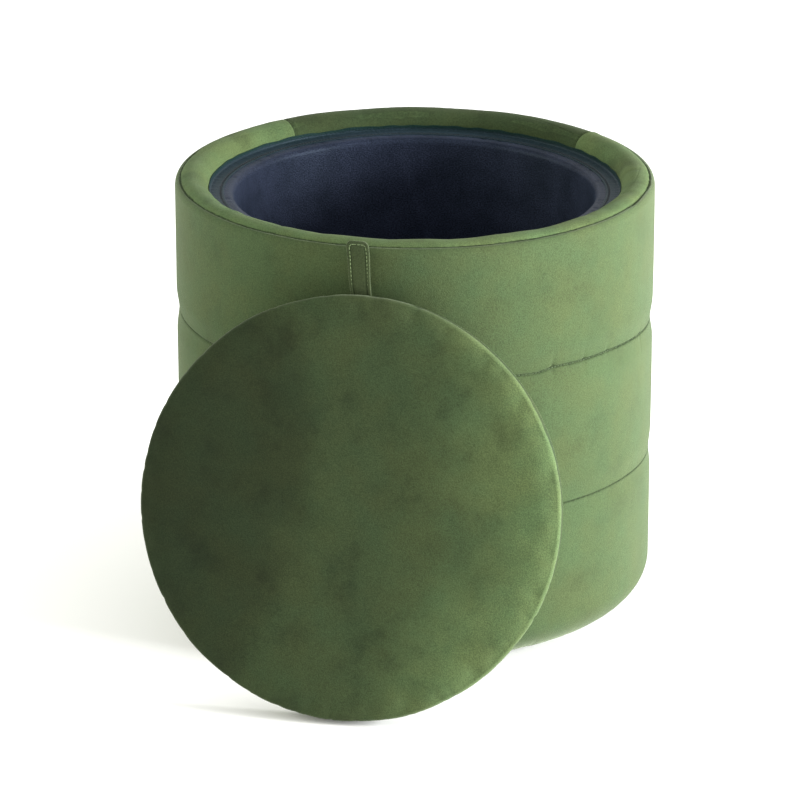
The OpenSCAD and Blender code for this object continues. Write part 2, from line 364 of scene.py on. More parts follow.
class Finish:
    """A node material under construction, with one-line helpers for the usual nodes."""

    def __init__(self, name, rough, **sockets):
        self.material = bpy.data.materials.new(name)
        self.material.use_nodes = True
        self.tree = self.material.node_tree
        self.shader = self.tree.nodes["Principled BSDF"]
        self.shader.inputs["Roughness"].default_value = rough
        for socket, value in sockets.items():
            self.shader.inputs[socket.replace("_", " ")].default_value = value
        self.place = self.node("TexCoord")

    def node(self, kind):
        return self.tree.nodes.new("ShaderNode" + kind)

    def link(self, out, into):
        self.tree.links.new(out, into)

    def put(self, value, socket):
        """Links another node's result to a socket, or sets the socket to a plain value."""
        if isinstance(value, bpy.types.NodeSocket):
            self.link(value, socket)
        else:
            socket.default_value = value

    def pressed(self):
        """How dark the pile is made, pressed down or painted with shade, as it is stored at the points."""
        node = self.node("Attribute")
        node.attribute_name = "crush_and_shade"
        return node.outputs["Fac"]

    def noise(self, scale, detail=3.0, rough=0.55, coords="Object", stretch=None):
        """Noise value at a number of waves per metre, stretched along the axes if asked."""
        node = self.node("TexNoise")
        node.inputs["Scale"].default_value = scale
        node.inputs["Detail"].default_value = detail
        node.inputs["Roughness"].default_value = rough
        source = self.place.outputs[coords]
        if stretch is not None:
            mapping = self.node("Mapping")
            mapping.inputs["Scale"].default_value = stretch
            self.link(source, mapping.inputs["Vector"])
            source = mapping.outputs["Vector"]
        self.link(source, node.inputs["Vector"])
        return node.outputs["Fac"]

    def ramp(self, value, *stops):
        """Colours or greys at positions along a value."""
        node = self.node("ValToRGB")
        self.link(value, node.inputs["Fac"])
        while len(node.color_ramp.elements) < len(stops):
            node.color_ramp.elements.new(0.5)
        for element, (at, colour) in zip(node.color_ramp.elements, stops):
            element.position = at
            element.color = (*colour, 1) if np.ndim(colour) else (colour, colour, colour, 1)
        return node.outputs["Color"]

    def mix(self, kind, amount, a, b):
        """Blend of two colours; amount is a number or a socket."""
        node = self.node("Mix")
        node.data_type = "RGBA"
        node.blend_type = kind
        for value, slot in ((amount, 0), (a, 6), (b, 7)):
            self.put(value, node.inputs[slot])
        return node.outputs[2]

    def math(self, kind, a, b):
        node = self.node("Math")
        node.operation = kind
        self.put(a, node.inputs[0])
        self.put(b, node.inputs[1])
        return node.outputs[0]

    def bump(self, height, strength, distance, under=None):
        """A finer bump in metres, on top of the one under it."""
        node = self.node("Bump")
        node.inputs["Strength"].default_value = strength
        node.inputs["Distance"].default_value = distance
        self.link(height, node.inputs["Height"])
        if under is not None:
            self.link(under, node.inputs["Normal"])
        return node.outputs["Normal"]

    def finish(self, colour, rough=None, normal=None):
        for value, socket in ((colour, "Base Color"), (rough, "Roughness"), (normal, "Normal")):
            if value is not None:
                self.link(value, self.shader.inputs[socket])
        return self.material


def velvet(name, shade=1.0, sheen=0.22, painted_shade_across=None, smudged=0.20):
    """Short-pile green velvet: broad brushed patches of nap in two close greens, smudges, a fine
    pile grain and a pale sheen. The pile is darker where it is pressed at a seam, and the same dark
    colour is painted shade where the points are marked for it. smudged is how much darker the nap
    gets where it has been stroked the other way. The across argument, (axis, start, end), paints
    shade across the lid: darkest at start, away from the key lamp, lighter towards end, and a
    little lighter at its top and bottom."""
    cloth = Finish(name, 0.92, Sheen_Weight=sheen, Sheen_Roughness=0.42,
                   Sheen_Tint=(0.80, 0.92, 0.66, 1), Specular_IOR_Level=0.12)
    olive = np.array([0.0600, 0.0845, 0.0320]) * shade
    cool = np.array([0.0535, 0.0855, 0.0345]) * shade
    hue = cloth.noise(21.0, 3.0, 0.6)
    colour = cloth.ramp(hue, (0.36, tuple(olive)), (0.64, tuple(cool)))
    smudge = cloth.noise(24.0, 5.0, 0.62)
    shade_by = cloth.ramp(smudge, (0.30, 1 - smudged), (0.46, 1 - 0.3 * smudged), (0.70, 1.0))
    colour = cloth.mix("MULTIPLY", 1.0, colour, shade_by)
    # Painted shade across the lid: darker on the left, away from the key lamp, lighter to the right, and a little
    # lighter at top and bottom
    if painted_shade_across is not None:
        axis, start, end = painted_shade_across
        split = cloth.node("SeparateXYZ")
        cloth.link(cloth.place.outputs["Object"], split.inputs[0])
        drift = cloth.math("MULTIPLY", cloth.noise(9.0, 4.0, 0.6), 0.12)
        away = cloth.math("ADD", split.outputs[axis], drift)
        from_middle = cloth.math("SUBTRACT", split.outputs[2], lid_middle_z)
        bowed = cloth.math("MULTIPLY", cloth.math("MULTIPLY", from_middle, from_middle), 2.2)
        away = cloth.math("ADD", away, bowed)
        part = cloth.math("DIVIDE", cloth.math("SUBTRACT", away, start), end - start)
        painted_shade = cloth.ramp(part, (0.0, 0.15), (0.36, 0.22), (0.46, 0.34), (0.68, 0.36), (0.80, 0.45),
                          (0.90, 0.64), (1.0, 0.86))
        colour = cloth.mix("MULTIPLY", 1.0, colour, painted_shade)
    pile = cloth.noise(1000.0, 2.0, 0.7)
    colour = cloth.mix("MULTIPLY", 1.0, colour, cloth.ramp(pile, (0.34, 0.60), (0.66, 1.0)))
    # Darker where the pile is pressed at a seam, and painted shade where the points are marked for it
    fuzz = cloth.ramp(cloth.noise(420.0, 3.0, 0.6), (0.34, 0.30), (0.60, 1.0))
    dark = cloth.math("MULTIPLY", cloth.pressed(), fuzz)
    colour = cloth.mix("MIX", dark, colour, (0.012, 0.020, 0.008, 1))
    folds = cloth.bump(smudge, 0.35, 0.0016)
    normal = cloth.bump(pile, 0.55, 0.0004, folds)
    return cloth.finish(colour, None, normal)


def lining_cloth():
    """Navy nylon lining: a fine plain weave with a low satin gloss, and painted shade, darker and greener, on the
    hem along the ledge.
    """
    cloth = Finish("lining", 0.42, Specular_IOR_Level=0.08, Specular_Tint=(0.55, 0.75, 1.0, 1),
                   Sheen_Weight=0.03, Sheen_Roughness=0.4, Sheen_Tint=(0.45, 0.68, 1.0, 1))
    blotch = cloth.noise(30.0, 4.0, 0.6)
    weave = cloth.noise(1.0, 1.0, 0.5, coords="UV", stretch=(700.0, 1000.0, 1.0))
    navy = cloth.ramp(blotch, (0.3, (0.0155, 0.0205, 0.0345)), (0.7, (0.0275, 0.0345, 0.0590)))
    colour = cloth.mix("MULTIPLY", 1.0, navy, cloth.ramp(weave, (0.35, 0.42), (0.65, 1.0)))
    # Painted shade, darker and greener, where the points are marked: on the hem along the ledge
    colour = cloth.mix("MIX", cloth.pressed(), colour, (0.006, 0.022, 0.014, 1))
    rough = cloth.ramp(weave, (0.3, 0.34), (0.7, 0.50))
    normal = cloth.bump(weave, 0.6, 0.0005, cloth.bump(blotch, 0.35, 0.003))
    return cloth.finish(colour, rough, normal)


def black_cloth():
    """Matt black non-woven cloth with a fine pressed dot."""
    cloth = Finish("black_cloth", 0.9, Specular_IOR_Level=0.25)
    fibre = cloth.noise(600.0, 3.0, 0.7)
    cell = cloth.node("TexVoronoi")
    cell.inputs["Scale"].default_value = 500.0
    cloth.link(cloth.place.outputs["Object"], cell.inputs["Vector"])
    colour = cloth.ramp(fibre, (0.3, (0.010, 0.010, 0.011)), (0.7, (0.026, 0.026, 0.028)))
    return cloth.finish(colour, None, cloth.bump(cell.outputs["Distance"], 0.4, 0.0003))


def thread(name, dark, light):
    """Matt sewing thread, twisted from two close shades."""
    cloth = Finish(name, 0.75, Sheen_Weight=0.08, Specular_IOR_Level=0.2)
    twist = cloth.noise(1500.0, 2.0, 0.6)
    colour = cloth.ramp(twist, (0.3, dark), (0.7, light))
    return cloth.finish(colour, None, cloth.bump(twist, 0.4, 0.0002))


def foam():
    """Cream open-cell foam."""
    block = Finish("foam", 0.95)
    cells = block.noise(420.0, 3.0, 0.7)
    colour = block.ramp(cells, (0.35, (0.62, 0.58, 0.42)), (0.65, (0.82, 0.78, 0.62)))
    return block.finish(colour, None, block.bump(cells, 0.6, 0.001))


def wood(name, dark, light, long_axis):
    """Wood or fibreboard with its grain along one axis."""
    board = Finish(name, 0.65)
    stretch = [1.0, 1.0, 1.0]
    stretch[long_axis] = 0.08
    grain = board.noise(90.0, 5.0, 0.6, stretch=stretch)
    colour = board.ramp(grain, (0.35, dark), (0.65, light))
    return board.finish(colour, None, board.bump(grain, 0.3, 0.0004))


def steel():
    """Plain steel wire and screws, with a little uneven polish."""
    metal = Finish("steel", 0.35, Metallic=1.0)
    brushed = metal.noise(300.0, 3.0, 0.6)
    return metal.finish(metal.ramp(brushed, (0.3, (0.45, 0.45, 0.47)), (0.7, (0.62, 0.62, 0.65))),
                        metal.ramp(brushed, (0.3, 0.28), (0.7, 0.45)))


def floor_finish():
    """Matt white floor."""
    paint = Finish("studio_floor", 0.95, Specular_IOR_Level=0.1)
    mottle = paint.noise(3.0, 2.0, 0.5)
    return paint.finish(paint.ramp(mottle, (0.3, 0.93), (0.7, 0.95)))


# One velvet in copies painted lighter or darker for how the light falls on each part: the lid's copy is doubled
# under its painted shade, the rim round the front is painted lighter, and the tab and the rim's back, sewn against
# the nap, are painted darker. The copy with no sheen is for pile pressed hard or painted dark.
velvet_drum = velvet("velvet")
velvet_lid = velvet("velvet_lid", 2.0, painted_shade_across=(0, -0.11, 0.21), smudged=0.40)
velvet_tab = velvet("velvet_tab", 0.62, 0.48)
velvet_rim_front = velvet("velvet_rim", 1.72, 0.05, smudged=0.44)
velvet_no_sheen = velvet("velvet_no_sheen", 1.0, 0.0)
velvet_rim_back = velvet("velvet_rim_back_painted_shade", 0.76, 0.05, smudged=0.40)
lining_mat = lining_cloth()
black_mat = black_cloth()
thread_light = thread("thread", (0.09, 0.13, 0.05), (0.17, 0.23, 0.11))
thread_dark = thread("thread_seam", (0.020, 0.034, 0.012), (0.060, 0.090, 0.036))
thread_navy = thread("thread_lining", (0.003, 0.004, 0.007), (0.008, 0.010, 0.016))
foam_mat = foam()
fibreboard = wood("fibreboard", (0.30, 0.20, 0.11), (0.42, 0.30, 0.18), 2)
plywood = wood("plywood", (0.42, 0.28, 0.15), (0.58, 0.42, 0.25), 2)
steel_mat = steel()


def dress(piece, material, body, slot, *replaced):
    """Gives a piece its material and its body, and hides the nodes it stands for. slot is not used."""
    piece.data.materials.clear()
    piece.data.materials.append(material)
    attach(piece, body)
    if replaced:
        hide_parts(*replaced)
    return piece


# ---------------------------------------------------------------- drum cover

drum_turns = 720
# How far the cover is pulled in at a seam, how far that reaches, and the deepest it may sink
seam_pinch = 0.0020
seam_reach = 0.020
deepest = 0.0033
# Reach of the closely spaced rows of points on each side of a seam
seam_rows = 0.016
# Where the rim seam lies on the outer rounding, in degrees over level, and how far round it is
rim_seam = 54.0
rim_seam_arc = 0.0085
# Places round the drum: where the high seam is bunched most, right of the front, the crease in the
# rim, and the two joins of the rim's cover
bunch_at = math.radians(-46)
rim_crease_at = math.radians(-133.5)
left_join = math.radians(138)
right_join = math.radians(49)
# Pile pressed, or painted with shade, beyond this mark has no sheen
no_sheen_above = 0.45


def from_bunch(theta):
    return turn_between(theta, bunch_at)


def seam_wander(seed, droop, wobble=0.0):
    """Height by which a seam strays from level: slow waves, a droop to the right of the front, and
    a short wobble where the cloth is bunched."""

    def stray(theta):
        side = turn_between(theta, view_azimuth)
        bunch = from_bunch(theta)
        return (0.0007 * waves(theta, seed, range(2, 9)) - droop * np.exp(-(side / 0.55) ** 2)
                + wobble * np.sin(bunch / 0.06) * np.exp(-(bunch / 0.10) ** 2))

    return stray


# Each seam: height, how far it strays, depth and half width of its groove, puckers, seed
high_seam = (seam_high, seam_wander(14, 0.0085, 0.0016), 0.0012, 0.0012, 1.0, 31)
low_seam = (seam_low, seam_wander(15, 0.004), 0.0005, 0.0008, 0.12, 11)


def bunched(theta, seed):
    """Puckers round a seam, up to twice as strong where the cloth is bunched."""
    return creases(theta, seed, 40, 0.012) * (0.75 + 1.3 * np.exp(-(from_bunch(theta) / 0.16) ** 2))


def band_shift(seams, seed):
    """Shift of a band's face. At each seam the face sinks in by half a cosine over the reach, with
    a narrow groove at the thread and short random puckers that fade away from it, and the cloth
    round the seam follows the height that the seam strays. Between the seams the padding swells a
    little, in slow random waves."""

    def shift(theta, profile):
        z = profile[:, 1]
        face = np.clip((profile[:, 0] - (drum_r - cover_t - 0.0002)) / cover_t, 0, 1)
        pull = np.zeros((len(theta), len(z)))
        rise = np.zeros_like(pull)
        for height, stray, depth, width, pucker, crease_seed in seams:
            away = np.abs(z - height)
            tight = 0.4 + 0.6 * min(1.0, depth / 0.001)
            near = (1 + np.cos(math.pi * np.clip(away / seam_reach, 0, 1))) / 2
            pinch = seam_pinch * tight * near
            groove = depth * np.exp(-(away / width) ** 2)
            slack = 0.75 + 0.25 * waves(theta, crease_seed + 7, range(2, 9))
            dips = bunched(theta, crease_seed)
            fine = creases(theta, crease_seed + 1, 190, 0.006)
            pull -= pinch + groove * slack[:, None]
            pull -= pucker * 0.0010 * dips[:, None] * np.exp(-away / 0.0055)
            pull -= pucker * 0.0003 * fine[:, None] * np.exp(-away / 0.0025)
            rise += stray(theta)[:, None] * np.exp(-(away / 0.045) ** 2)
            rise += pucker * 0.0006 * (dips - dips.mean())[:, None] * np.exp(-away / 0.004)
        between = np.sin(math.pi * (z - z.min()) / np.ptp(z))
        pull += 0.00045 * (waves(theta, seed, range(2, 14))[:, None] * between)
        return np.maximum(pull, -deepest) * face, rise

    return shift


def seam_crush_and_shade(seams):
    """Pile pressed flat in a thin line at each seam, darker at its puckers, and painted shade in a soft band
    beside the line, deepest in the puckers.
    """

    def crush_and_shade(theta, profile):
        z = profile[:, 1]
        total = np.zeros((len(theta), len(z)))
        for height, _, _, _, pucker, crease_seed in seams:
            away = np.abs(z - height)
            dips = np.clip(bunched(theta, crease_seed), 0, 1.5)[:, None]
            fine = creases(theta, crease_seed + 5, 260, 0.007)[:, None]
            fade = np.clip(1.1 - 0.6 * np.abs(from_bunch(theta) - 0.5), 0.55, 1)[:, None]
            total += (0.85 + 0.35 * pucker * (dips + fine)) * fade * np.exp(-(away / 0.0011) ** 2)
            # Painted shade in a soft band beside the seam, deepest in its puckers
            total += pucker * fade * (0.22 + 0.50 * dips + 0.15 * fine) * np.exp(-away / 0.0030)
        return total

    return crush_and_shade


def lower_band_piece():
    """The foot is a quarter of an ellipse, wider than it is high; above it the wall runs straight
    up to the low seam."""
    foot_wide = 0.050
    centre = (drum_r - foot_wide, foot_low + foot_round)
    inner = drum_r - cover_t
    quarter = np.radians(np.linspace(-90, 0, 40))
    ways = np.stack([np.cos(quarter), np.sin(quarter)], -1)
    outside = centre + ways * (foot_wide, foot_round)
    within = centre + ways[::-4] * (foot_wide - cover_t, foot_round - cover_t)
    profile = np.vstack([
        line((cloth_r - 0.016, foot_low), outside[0], 6),
        outside[:-1],
        line((drum_r, centre[1]), (drum_r, seam_low - seam_rows), 34),
        line((drum_r, seam_low - seam_rows), (drum_r, seam_low), 32),
        line((drum_r, seam_low), (inner, seam_low), 3),
        line((inner, seam_low), (inner, centre[1]), 4),
        within,
        [[cloth_r - 0.016, foot_low + cover_t]],
    ])
    band = band_shift([low_seam], 21)

    def shift(theta, rows):
        dr, dz = band(theta, rows)
        low = np.clip((centre[1] - rows[:, 1]) / foot_round, 0, 1)
        gather = 0.0006 * creases(theta, 25, 64, 0.018)[:, None] * np.clip((low - 0.35) / 0.3, 0, 1)
        return dr * (1 - low), dz * (1 - low) + gather * (rows[:, 0] > cloth_r)

    return turned_ring("lower_band", profile, drum_turns, shift, seam_crush_and_shade([low_seam]))


def middle_band_piece():
    """Straight wall between its two seams."""
    inner = drum_r - cover_t
    low, high = seam_low, seam_high
    profile = np.vstack([
        line((drum_r, low), (drum_r, low + seam_rows), 32),
        line((drum_r, low + seam_rows), (drum_r, high - seam_rows), 44),
        line((drum_r, high - seam_rows), (drum_r, high), 32),
        line((drum_r, high), (inner, high), 3),
        line((inner, high), (inner, low), 4),
        line((inner, low), (drum_r, low), 3),
    ])
    return turned_ring("middle_band", profile, drum_turns, band_shift([low_seam, high_seam], 22),
                       seam_crush_and_shade([low_seam, high_seam]))


def upper_band_piece():
    """Straight wall from the high seam to the rim's outer rounding, where the rim seam lies."""
    inner = drum_r - cover_t
    low = seam_high
    centre = (drum_r - rim_round, rim_top - rim_round)
    profile = np.vstack([
        line((drum_r, low), (drum_r, low + seam_rows), 32),
        line((drum_r, low + seam_rows), (drum_r, centre[1]), 44),
        arc(centre, rim_round, 0, rim_seam, 22),
        arc(centre, rim_round - cover_t, rim_seam, 0, 6),
        line((inner, centre[1]), (inner, low), 4)[1:],
        line((inner, low), (drum_r, low), 3),
    ])
    band = band_shift([high_seam], 23)
    angle = np.degrees(np.arctan2(profile[:, 1] - centre[1], profile[:, 0] - centre[0]))
    edge = np.exp(-((angle - rim_seam) / 11) ** 2) * (profile[:, 1] > centre[1])
    from_rim = np.where(profile[:, 1] > centre[1], (rim_seam - angle) / rim_seam * rim_seam_arc,
                        centre[1] - profile[:, 1] + rim_seam_arc)

    def shift(theta, rows):
        dr, dz = band(theta, rows)
        tuck = -(0.0017 + 0.0006 * creases(theta, 41, 150, 0.008)[:, None]) * edge
        return dr + 0.6 * tuck, dz + 0.8 * tuck

    def crush_and_shade(theta, rows):
        soft = 0.6 + 0.4 * waves(theta, 43, range(3, 30))[:, None]
        total = seam_crush_and_shade([high_seam])(theta, rows) + 0.8 * edge ** 3
        # Painted shadow in a soft band below the rim seam, under the rim's roll
        return total + 0.75 * soft * np.exp(-np.abs(from_rim) / 0.0026)

    return turned_ring("upper_band", profile, drum_turns, shift, crush_and_shade)


def rim_piece(name, start, end, seed, over, dark_band=0.0):
    """Velvet over the padded rim, between two joins round the drum. The profile leaves the rim
    seam, rises to the crown and rolls down into the recess, along two quarter ellipses. over raises
    the ends that lap the next piece, and the last argument darkens the pile in a band inside the
    crown. The piece is a closed strip: its ends are flat caps."""
    crown_r = 0.1862
    out_wide, in_wide, tall = 0.0153, crown_r - recess_r, 0.0125
    roll_low = rim_top + 0.0002 - tall
    thick = 0.0012
    foot = recess_floor + lining_t
    a = np.radians(np.concatenate([np.linspace(47, 90, 16)[:-1], np.linspace(90, 180, 40)[:-1]]))
    wide = np.where(np.cos(a) > 0, out_wide, in_wide)
    roll = np.stack([crown_r + wide * np.cos(a), roll_low + tall * np.sin(a)], -1)
    wall = np.vstack([line((recess_r, roll_low), (recess_r, foot), 8), [[recess_r, foot]]])
    top = np.vstack([roll, wall])
    outward = np.vstack([
        np.stack([np.cos(a) / wide, np.sin(a) / tall], -1),
        np.tile([-1.0, 0.0], (len(wall), 1)),
    ])
    outward /= np.linalg.norm(outward, axis=1)[:, None]
    under = (top - thick * outward)[::-4]
    profile = np.vstack([top, under])
    count = len(profile)
    span = (end - start) % TAU
    turns = max(8, int(span / TAU * drum_turns))
    theta = start + np.linspace(0, span, turns)
    s = lengths(profile)
    width = s[len(top) - 1]
    across = np.clip(s / width, 0, 1)
    along = np.sin(math.pi * across)
    from_seam = across * width
    near_seam = np.exp(-from_seam / 0.0022)
    puckers = creases(theta, seed, 170, 0.007)[:, None]
    hollows = creases(theta, seed + 2, 34, 0.035)[:, None]
    slanted = theta[:, None] + 1.6 * across
    slant = creases(slanted.ravel(), seed + 3, 15, 0.010).reshape(turns, count)
    lift = -(0.0015 + 0.0007 * puckers) * near_seam
    lift -= 0.0003 * puckers * np.exp(-from_seam / 0.006)
    lift += 0.0005 * waves(theta, seed + 1, range(3, 20))[:, None] * along
    lift -= 0.0007 * hollows * along ** 2
    lift -= 0.0006 * slant * along ** 2
    crushed_and_shaded = 0.85 * np.exp(-(from_seam / 0.0015) ** 2) + 0.15 * np.exp(-from_seam / 0.003)
    # Painted shade in the slanted creases and the hollows
    crushed_and_shaded = crushed_and_shaded + 0.30 * np.clip(slant, 0, 1) * along + 0.16 * np.clip(hollows, 0, 1) * along
    patchy = 0.75 + 0.35 * waves(theta, seed + 4, range(2, 12))[:, None]
    crushed_and_shaded = crushed_and_shaded + dark_band * patchy * np.exp(-((across - 0.60) / 0.17) ** 2)
    for edge, height in zip((theta[0], theta[-1]), over):
        gap = np.abs(theta - edge)[:, None]
        lift += height * np.exp(-(gap / 0.05) ** 2) - 0.0012 * np.exp(-(gap / 0.005) ** 2)
        crushed_and_shaded = crushed_and_shaded + 0.5 * np.exp(-(gap / 0.004) ** 2)
    gap = turn_between(theta[:, None] - 0.10 * (across - 0.5), rim_crease_at)
    fold = np.exp(-(gap / 0.012) ** 2) * along
    lift += 0.0010 * np.exp(-((gap - 0.03) / 0.03) ** 2) * along - 0.0010 * fold
    # Painted shade in the crease
    crushed_and_shaded = crushed_and_shaded + 0.45 * fold
    normal = np.vstack([outward, np.zeros((len(under), 2))])
    r = profile[:, 0] + lift * normal[:, 0]
    z = profile[:, 1] + lift * normal[:, 1]
    faces = ring_faces(turns, count)[: (turns - 1) * count]
    first = np.arange(count)[::-1]
    last = (turns - 1) * count + np.arange(count)
    caps = []
    for loop in (first, last):
        for k in range((count - 1) // 2):
            a, b, c, d = loop[k], loop[k + 1], loop[count - 2 - k], loop[count - 1 - k]
            caps.append([a, b, c, d] if b != c else [a, b, d, -1])
    uv = np.stack([np.repeat(theta * drum_r, count), np.tile(s, turns)], -1)
    return make_piece(name, round_axis(theta, r, z), np.vstack([faces, caps]), uv, crushed_and_shaded)


def dress_soft(piece, material, body, fill, *replaced):
    """Dresses a padded piece. Where its pile is pressed hard, at seams and edges, or painted dark as
    shade, the faces get the same velvet with no sheen, which deepens the painted shade."""
    dress(piece, material, body, "velvet", *replaced)
    mesh = piece.data
    mesh.materials.append(velvet_no_sheen)
    mark = np.empty(len(mesh.vertices), np.float32)
    mesh.attributes["crush_and_shade"].data.foreach_get("value", mark)
    start = np.empty(len(mesh.polygons), np.int32)
    mesh.polygons.foreach_get("loop_start", start)
    corner = np.empty(len(mesh.loops), np.int32)
    mesh.loops.foreach_get("vertex_index", corner)
    hard = mark[corner[start]] > no_sheen_above
    mesh.polygons.foreach_set("material_index", hard.astype(np.int32))


dress_soft(lower_band_piece(), velvet_drum, "drum", 0.85, "cover_lower_band")
dress_soft(middle_band_piece(), velvet_drum, "drum", 0.85, "cover_middle_band")
dress_soft(upper_band_piece(), velvet_drum, "drum", 0.85, "cover_upper_band")
dress_soft(rim_piece("rim_front", left_join, right_join + TAU, 51, (0.0, 0.0009)),
           velvet_rim_front, "drum", 0.8, "rim_cover")
dress_soft(rim_piece("rim_back", right_join, left_join, 61, (0.0, 0.0), 0.50),
           velvet_rim_back, "drum", 0.8, "rim_cover")

seam_r = drum_r - seam_pinch - 0.0010
dress(ring_stitches("high_seam_thread", seam_r, seam_high, 0.0031, 0.0022, 0.0009,
                    wander=high_seam[1]), thread_dark, "drum", "velvet")
dress(ring_stitches("low_seam_thread", seam_r + 0.0008, seam_low, 0.0028, 0.0017, 0.0008,
                    wander=low_seam[1]), thread_dark, "drum", "velvet")


# ---------------------------------------------------------------- lining

# Where the second layer is sewn down, its folded edge inside that, and how far it turns up
hem_line = 0.1622
hem_edge = hem_line - 0.0030
hem_top = 0.0046


def well_piece():
    """Lining of the well in one cloth: flat floor, round wall with loose folds, a soft roll over
    the ledge's edge, and the ledge. The profile goes out under the floor, up behind the wall, and
    back down in front of it, so that it is closed."""
    ledge = recess_floor - lining_t
    roll = 0.0055
    floor = well_floor
    under, below_ledge = floor - lining_t, ledge - lining_t
    behind, out = mouth_r + lining_t, hem_r - 0.002
    back = np.vstack([
        [[0, under]],
        line((0.004, under), (behind, under), 8),
        line((behind, under), (behind, below_ledge), 16),
        line((behind, below_ledge), (out, below_ledge), 6),
        [[out, below_ledge]],
    ])
    front = np.vstack([
        line((out, ledge), (mouth_r + roll - 0.001, ledge), 26),
        arc((mouth_r + roll - 0.001, ledge - roll), roll, 90, 180, 14)[:-1],
        line((mouth_r - 0.001, ledge - roll), (mouth_r - 0.0005, floor + 0.004), 90),
        arc((mouth_r - 0.0045, floor + 0.004), 0.004, 0, -90, 6),
        line((mouth_r - 0.009, floor), (0.004, floor), 30),
        [[0, floor]],
    ])
    profile = np.vstack([back, front])
    start = len(back) - 1

    def shift(theta, rows):
        r, z = rows.T
        shown = (np.arange(len(rows)) >= start) * 1.0
        below = np.clip((ledge - z) / 0.07, 0, 1)
        wall = shown * (r < mouth_r + roll) * (z > floor + 0.002)
        loose = below * np.clip((z - floor) / 0.03, 0, 1)
        slanted = theta[:, None] + 2.2 * (ledge - z)
        folds = creases(slanted.ravel(), 81, 13, 0.035).reshape(slanted.shape)
        slow = waves(theta, 82, range(2, 14))[:, None]
        dr = -(0.0022 * folds + 0.0010 * (1 + slow)) * loose * wall
        tucks = creases(theta, 84, 58, 0.012)[:, None]
        top = shown * (z > ledge - roll) * np.clip((hem_r - r) / 0.004, 0, 1)
        dz = -0.0007 * tucks * top * np.exp(-((r - mouth_r - 0.004) / 0.007) ** 2)
        flat = shown * (r < mouth_r - 0.010) * (z < floor + 0.002) * np.clip(r / 0.05, 0, 1)
        dz = dz + 0.0008 * np.abs(waves(theta, 83, range(2, 9)))[:, None] * flat
        return dr, dz

    return turned_disc("lining_well_cloth", profile, 504, shift)


def hem_piece():
    """Second layer of lining sewn on the ledge: from its folded edge it lies flat outwards and
    turns up the recess wall to just under the rim's roll."""
    under, top = recess_floor - lining_t, recess_floor + hem_top
    turn = 0.0022
    wall = recess_r - 0.0002
    face = wall - lining_t
    corner = (wall - turn, under + turn)
    outer = np.vstack([
        line((hem_edge, under), (corner[0], under), 12),
        arc(corner, turn, -90, 0, 8)[:-1],
        line((wall, corner[1]), (wall, top), 8),
    ])
    inner = np.vstack([
        line((face, top), (face, corner[1]), 10),
        arc(corner, turn - lining_t, 0, -90, 8)[:-1],
        line((corner[0], recess_floor), (hem_edge, recess_floor), 30),
    ])
    profile = np.vstack([outer, inner])
    start = len(outer)

    def shift(theta, rows):
        r, z = rows.T
        shown = (np.arange(len(rows)) >= start) * 1.0
        groove = 0.0005 * np.exp(-((r - hem_line) / 0.0007) ** 2)
        tucks = creases(theta, 71, 150, 0.008)[:, None]
        ruck = 0.0005 * tucks * np.exp(-((r - hem_line) / 0.004) ** 2)
        high = np.clip((z - recess_floor) / hem_top, 0, 1)
        ragged = 0.0005 * waves(theta, 73, range(6, 60))[:, None] * high
        rise = (0.0003 * tucks - groove) * shown * (1 - high) + ragged - ruck * 0.5 * shown
        return -0.0001 * tucks * high * shown, rise

    # Painted shade over the whole hem, deepest where it turns up the wall under the rim's roll
    def crush_and_shade(theta, rows):
        return 0.45 + 0.35 * np.clip((rows[:, 1] - recess_floor - 0.0016) / 0.002, 0, 1)

    return turned_ring("lining_hem_cloth", profile, drum_turns, shift, crush_and_shade)


well = dress(well_piece(), lining_mat, "drum", "lining",
             "lining_wall", "lining_floor", "lining_ledge")
hem = dress(hem_piece(), lining_mat, "drum", "lining", "lining_hem")
dress(ring_stitches("hem_thread", hem_line, recess_floor + 0.0001, 0.0030, 0.0022, 0.0008,
                    out=(0.0, 1.0)), thread_navy, "drum", "lining")


def black_cloth_piece(name, r, top, shift=None, place=None):
    """Flat black cloth of radius r: a thin disc with a half round at its edge, like a fold."""
    middle, roll = (cloth_low + top) / 2, (top - cloth_low) / 2
    profile = np.vstack([
        [[0, cloth_low]], line((0.004, cloth_low), (r - 0.001, cloth_low), 40),
        arc((r - 0.0006, middle), roll, -90, 90, 8),
        line((r - 0.001, top), (0.004, top), 20), [[0, top]],
    ])
    return turned_disc(name, profile, 360, shift, place)


def cloth_slack(theta, rows):
    """Shift of the drum's under cloth: slow waves that lift its lower face away from the middle."""
    r, z = rows.T
    lower = (z < cloth_top / 2) * np.clip(r / 0.05, 0, 1)
    return 0.0, np.clip(0.0001 * (1 + waves(theta, 91, range(3, 16)))[:, None] * lower, 0, None)


under_cloth = dress(black_cloth_piece("drum_dust_cloth", cloth_r, cloth_top, cloth_slack),
                    black_mat, "drum", "black_cloth", "dust_cloth")


# ---------------------------------------------------------------- lid

lid_turns, lid_rows = 240, 30


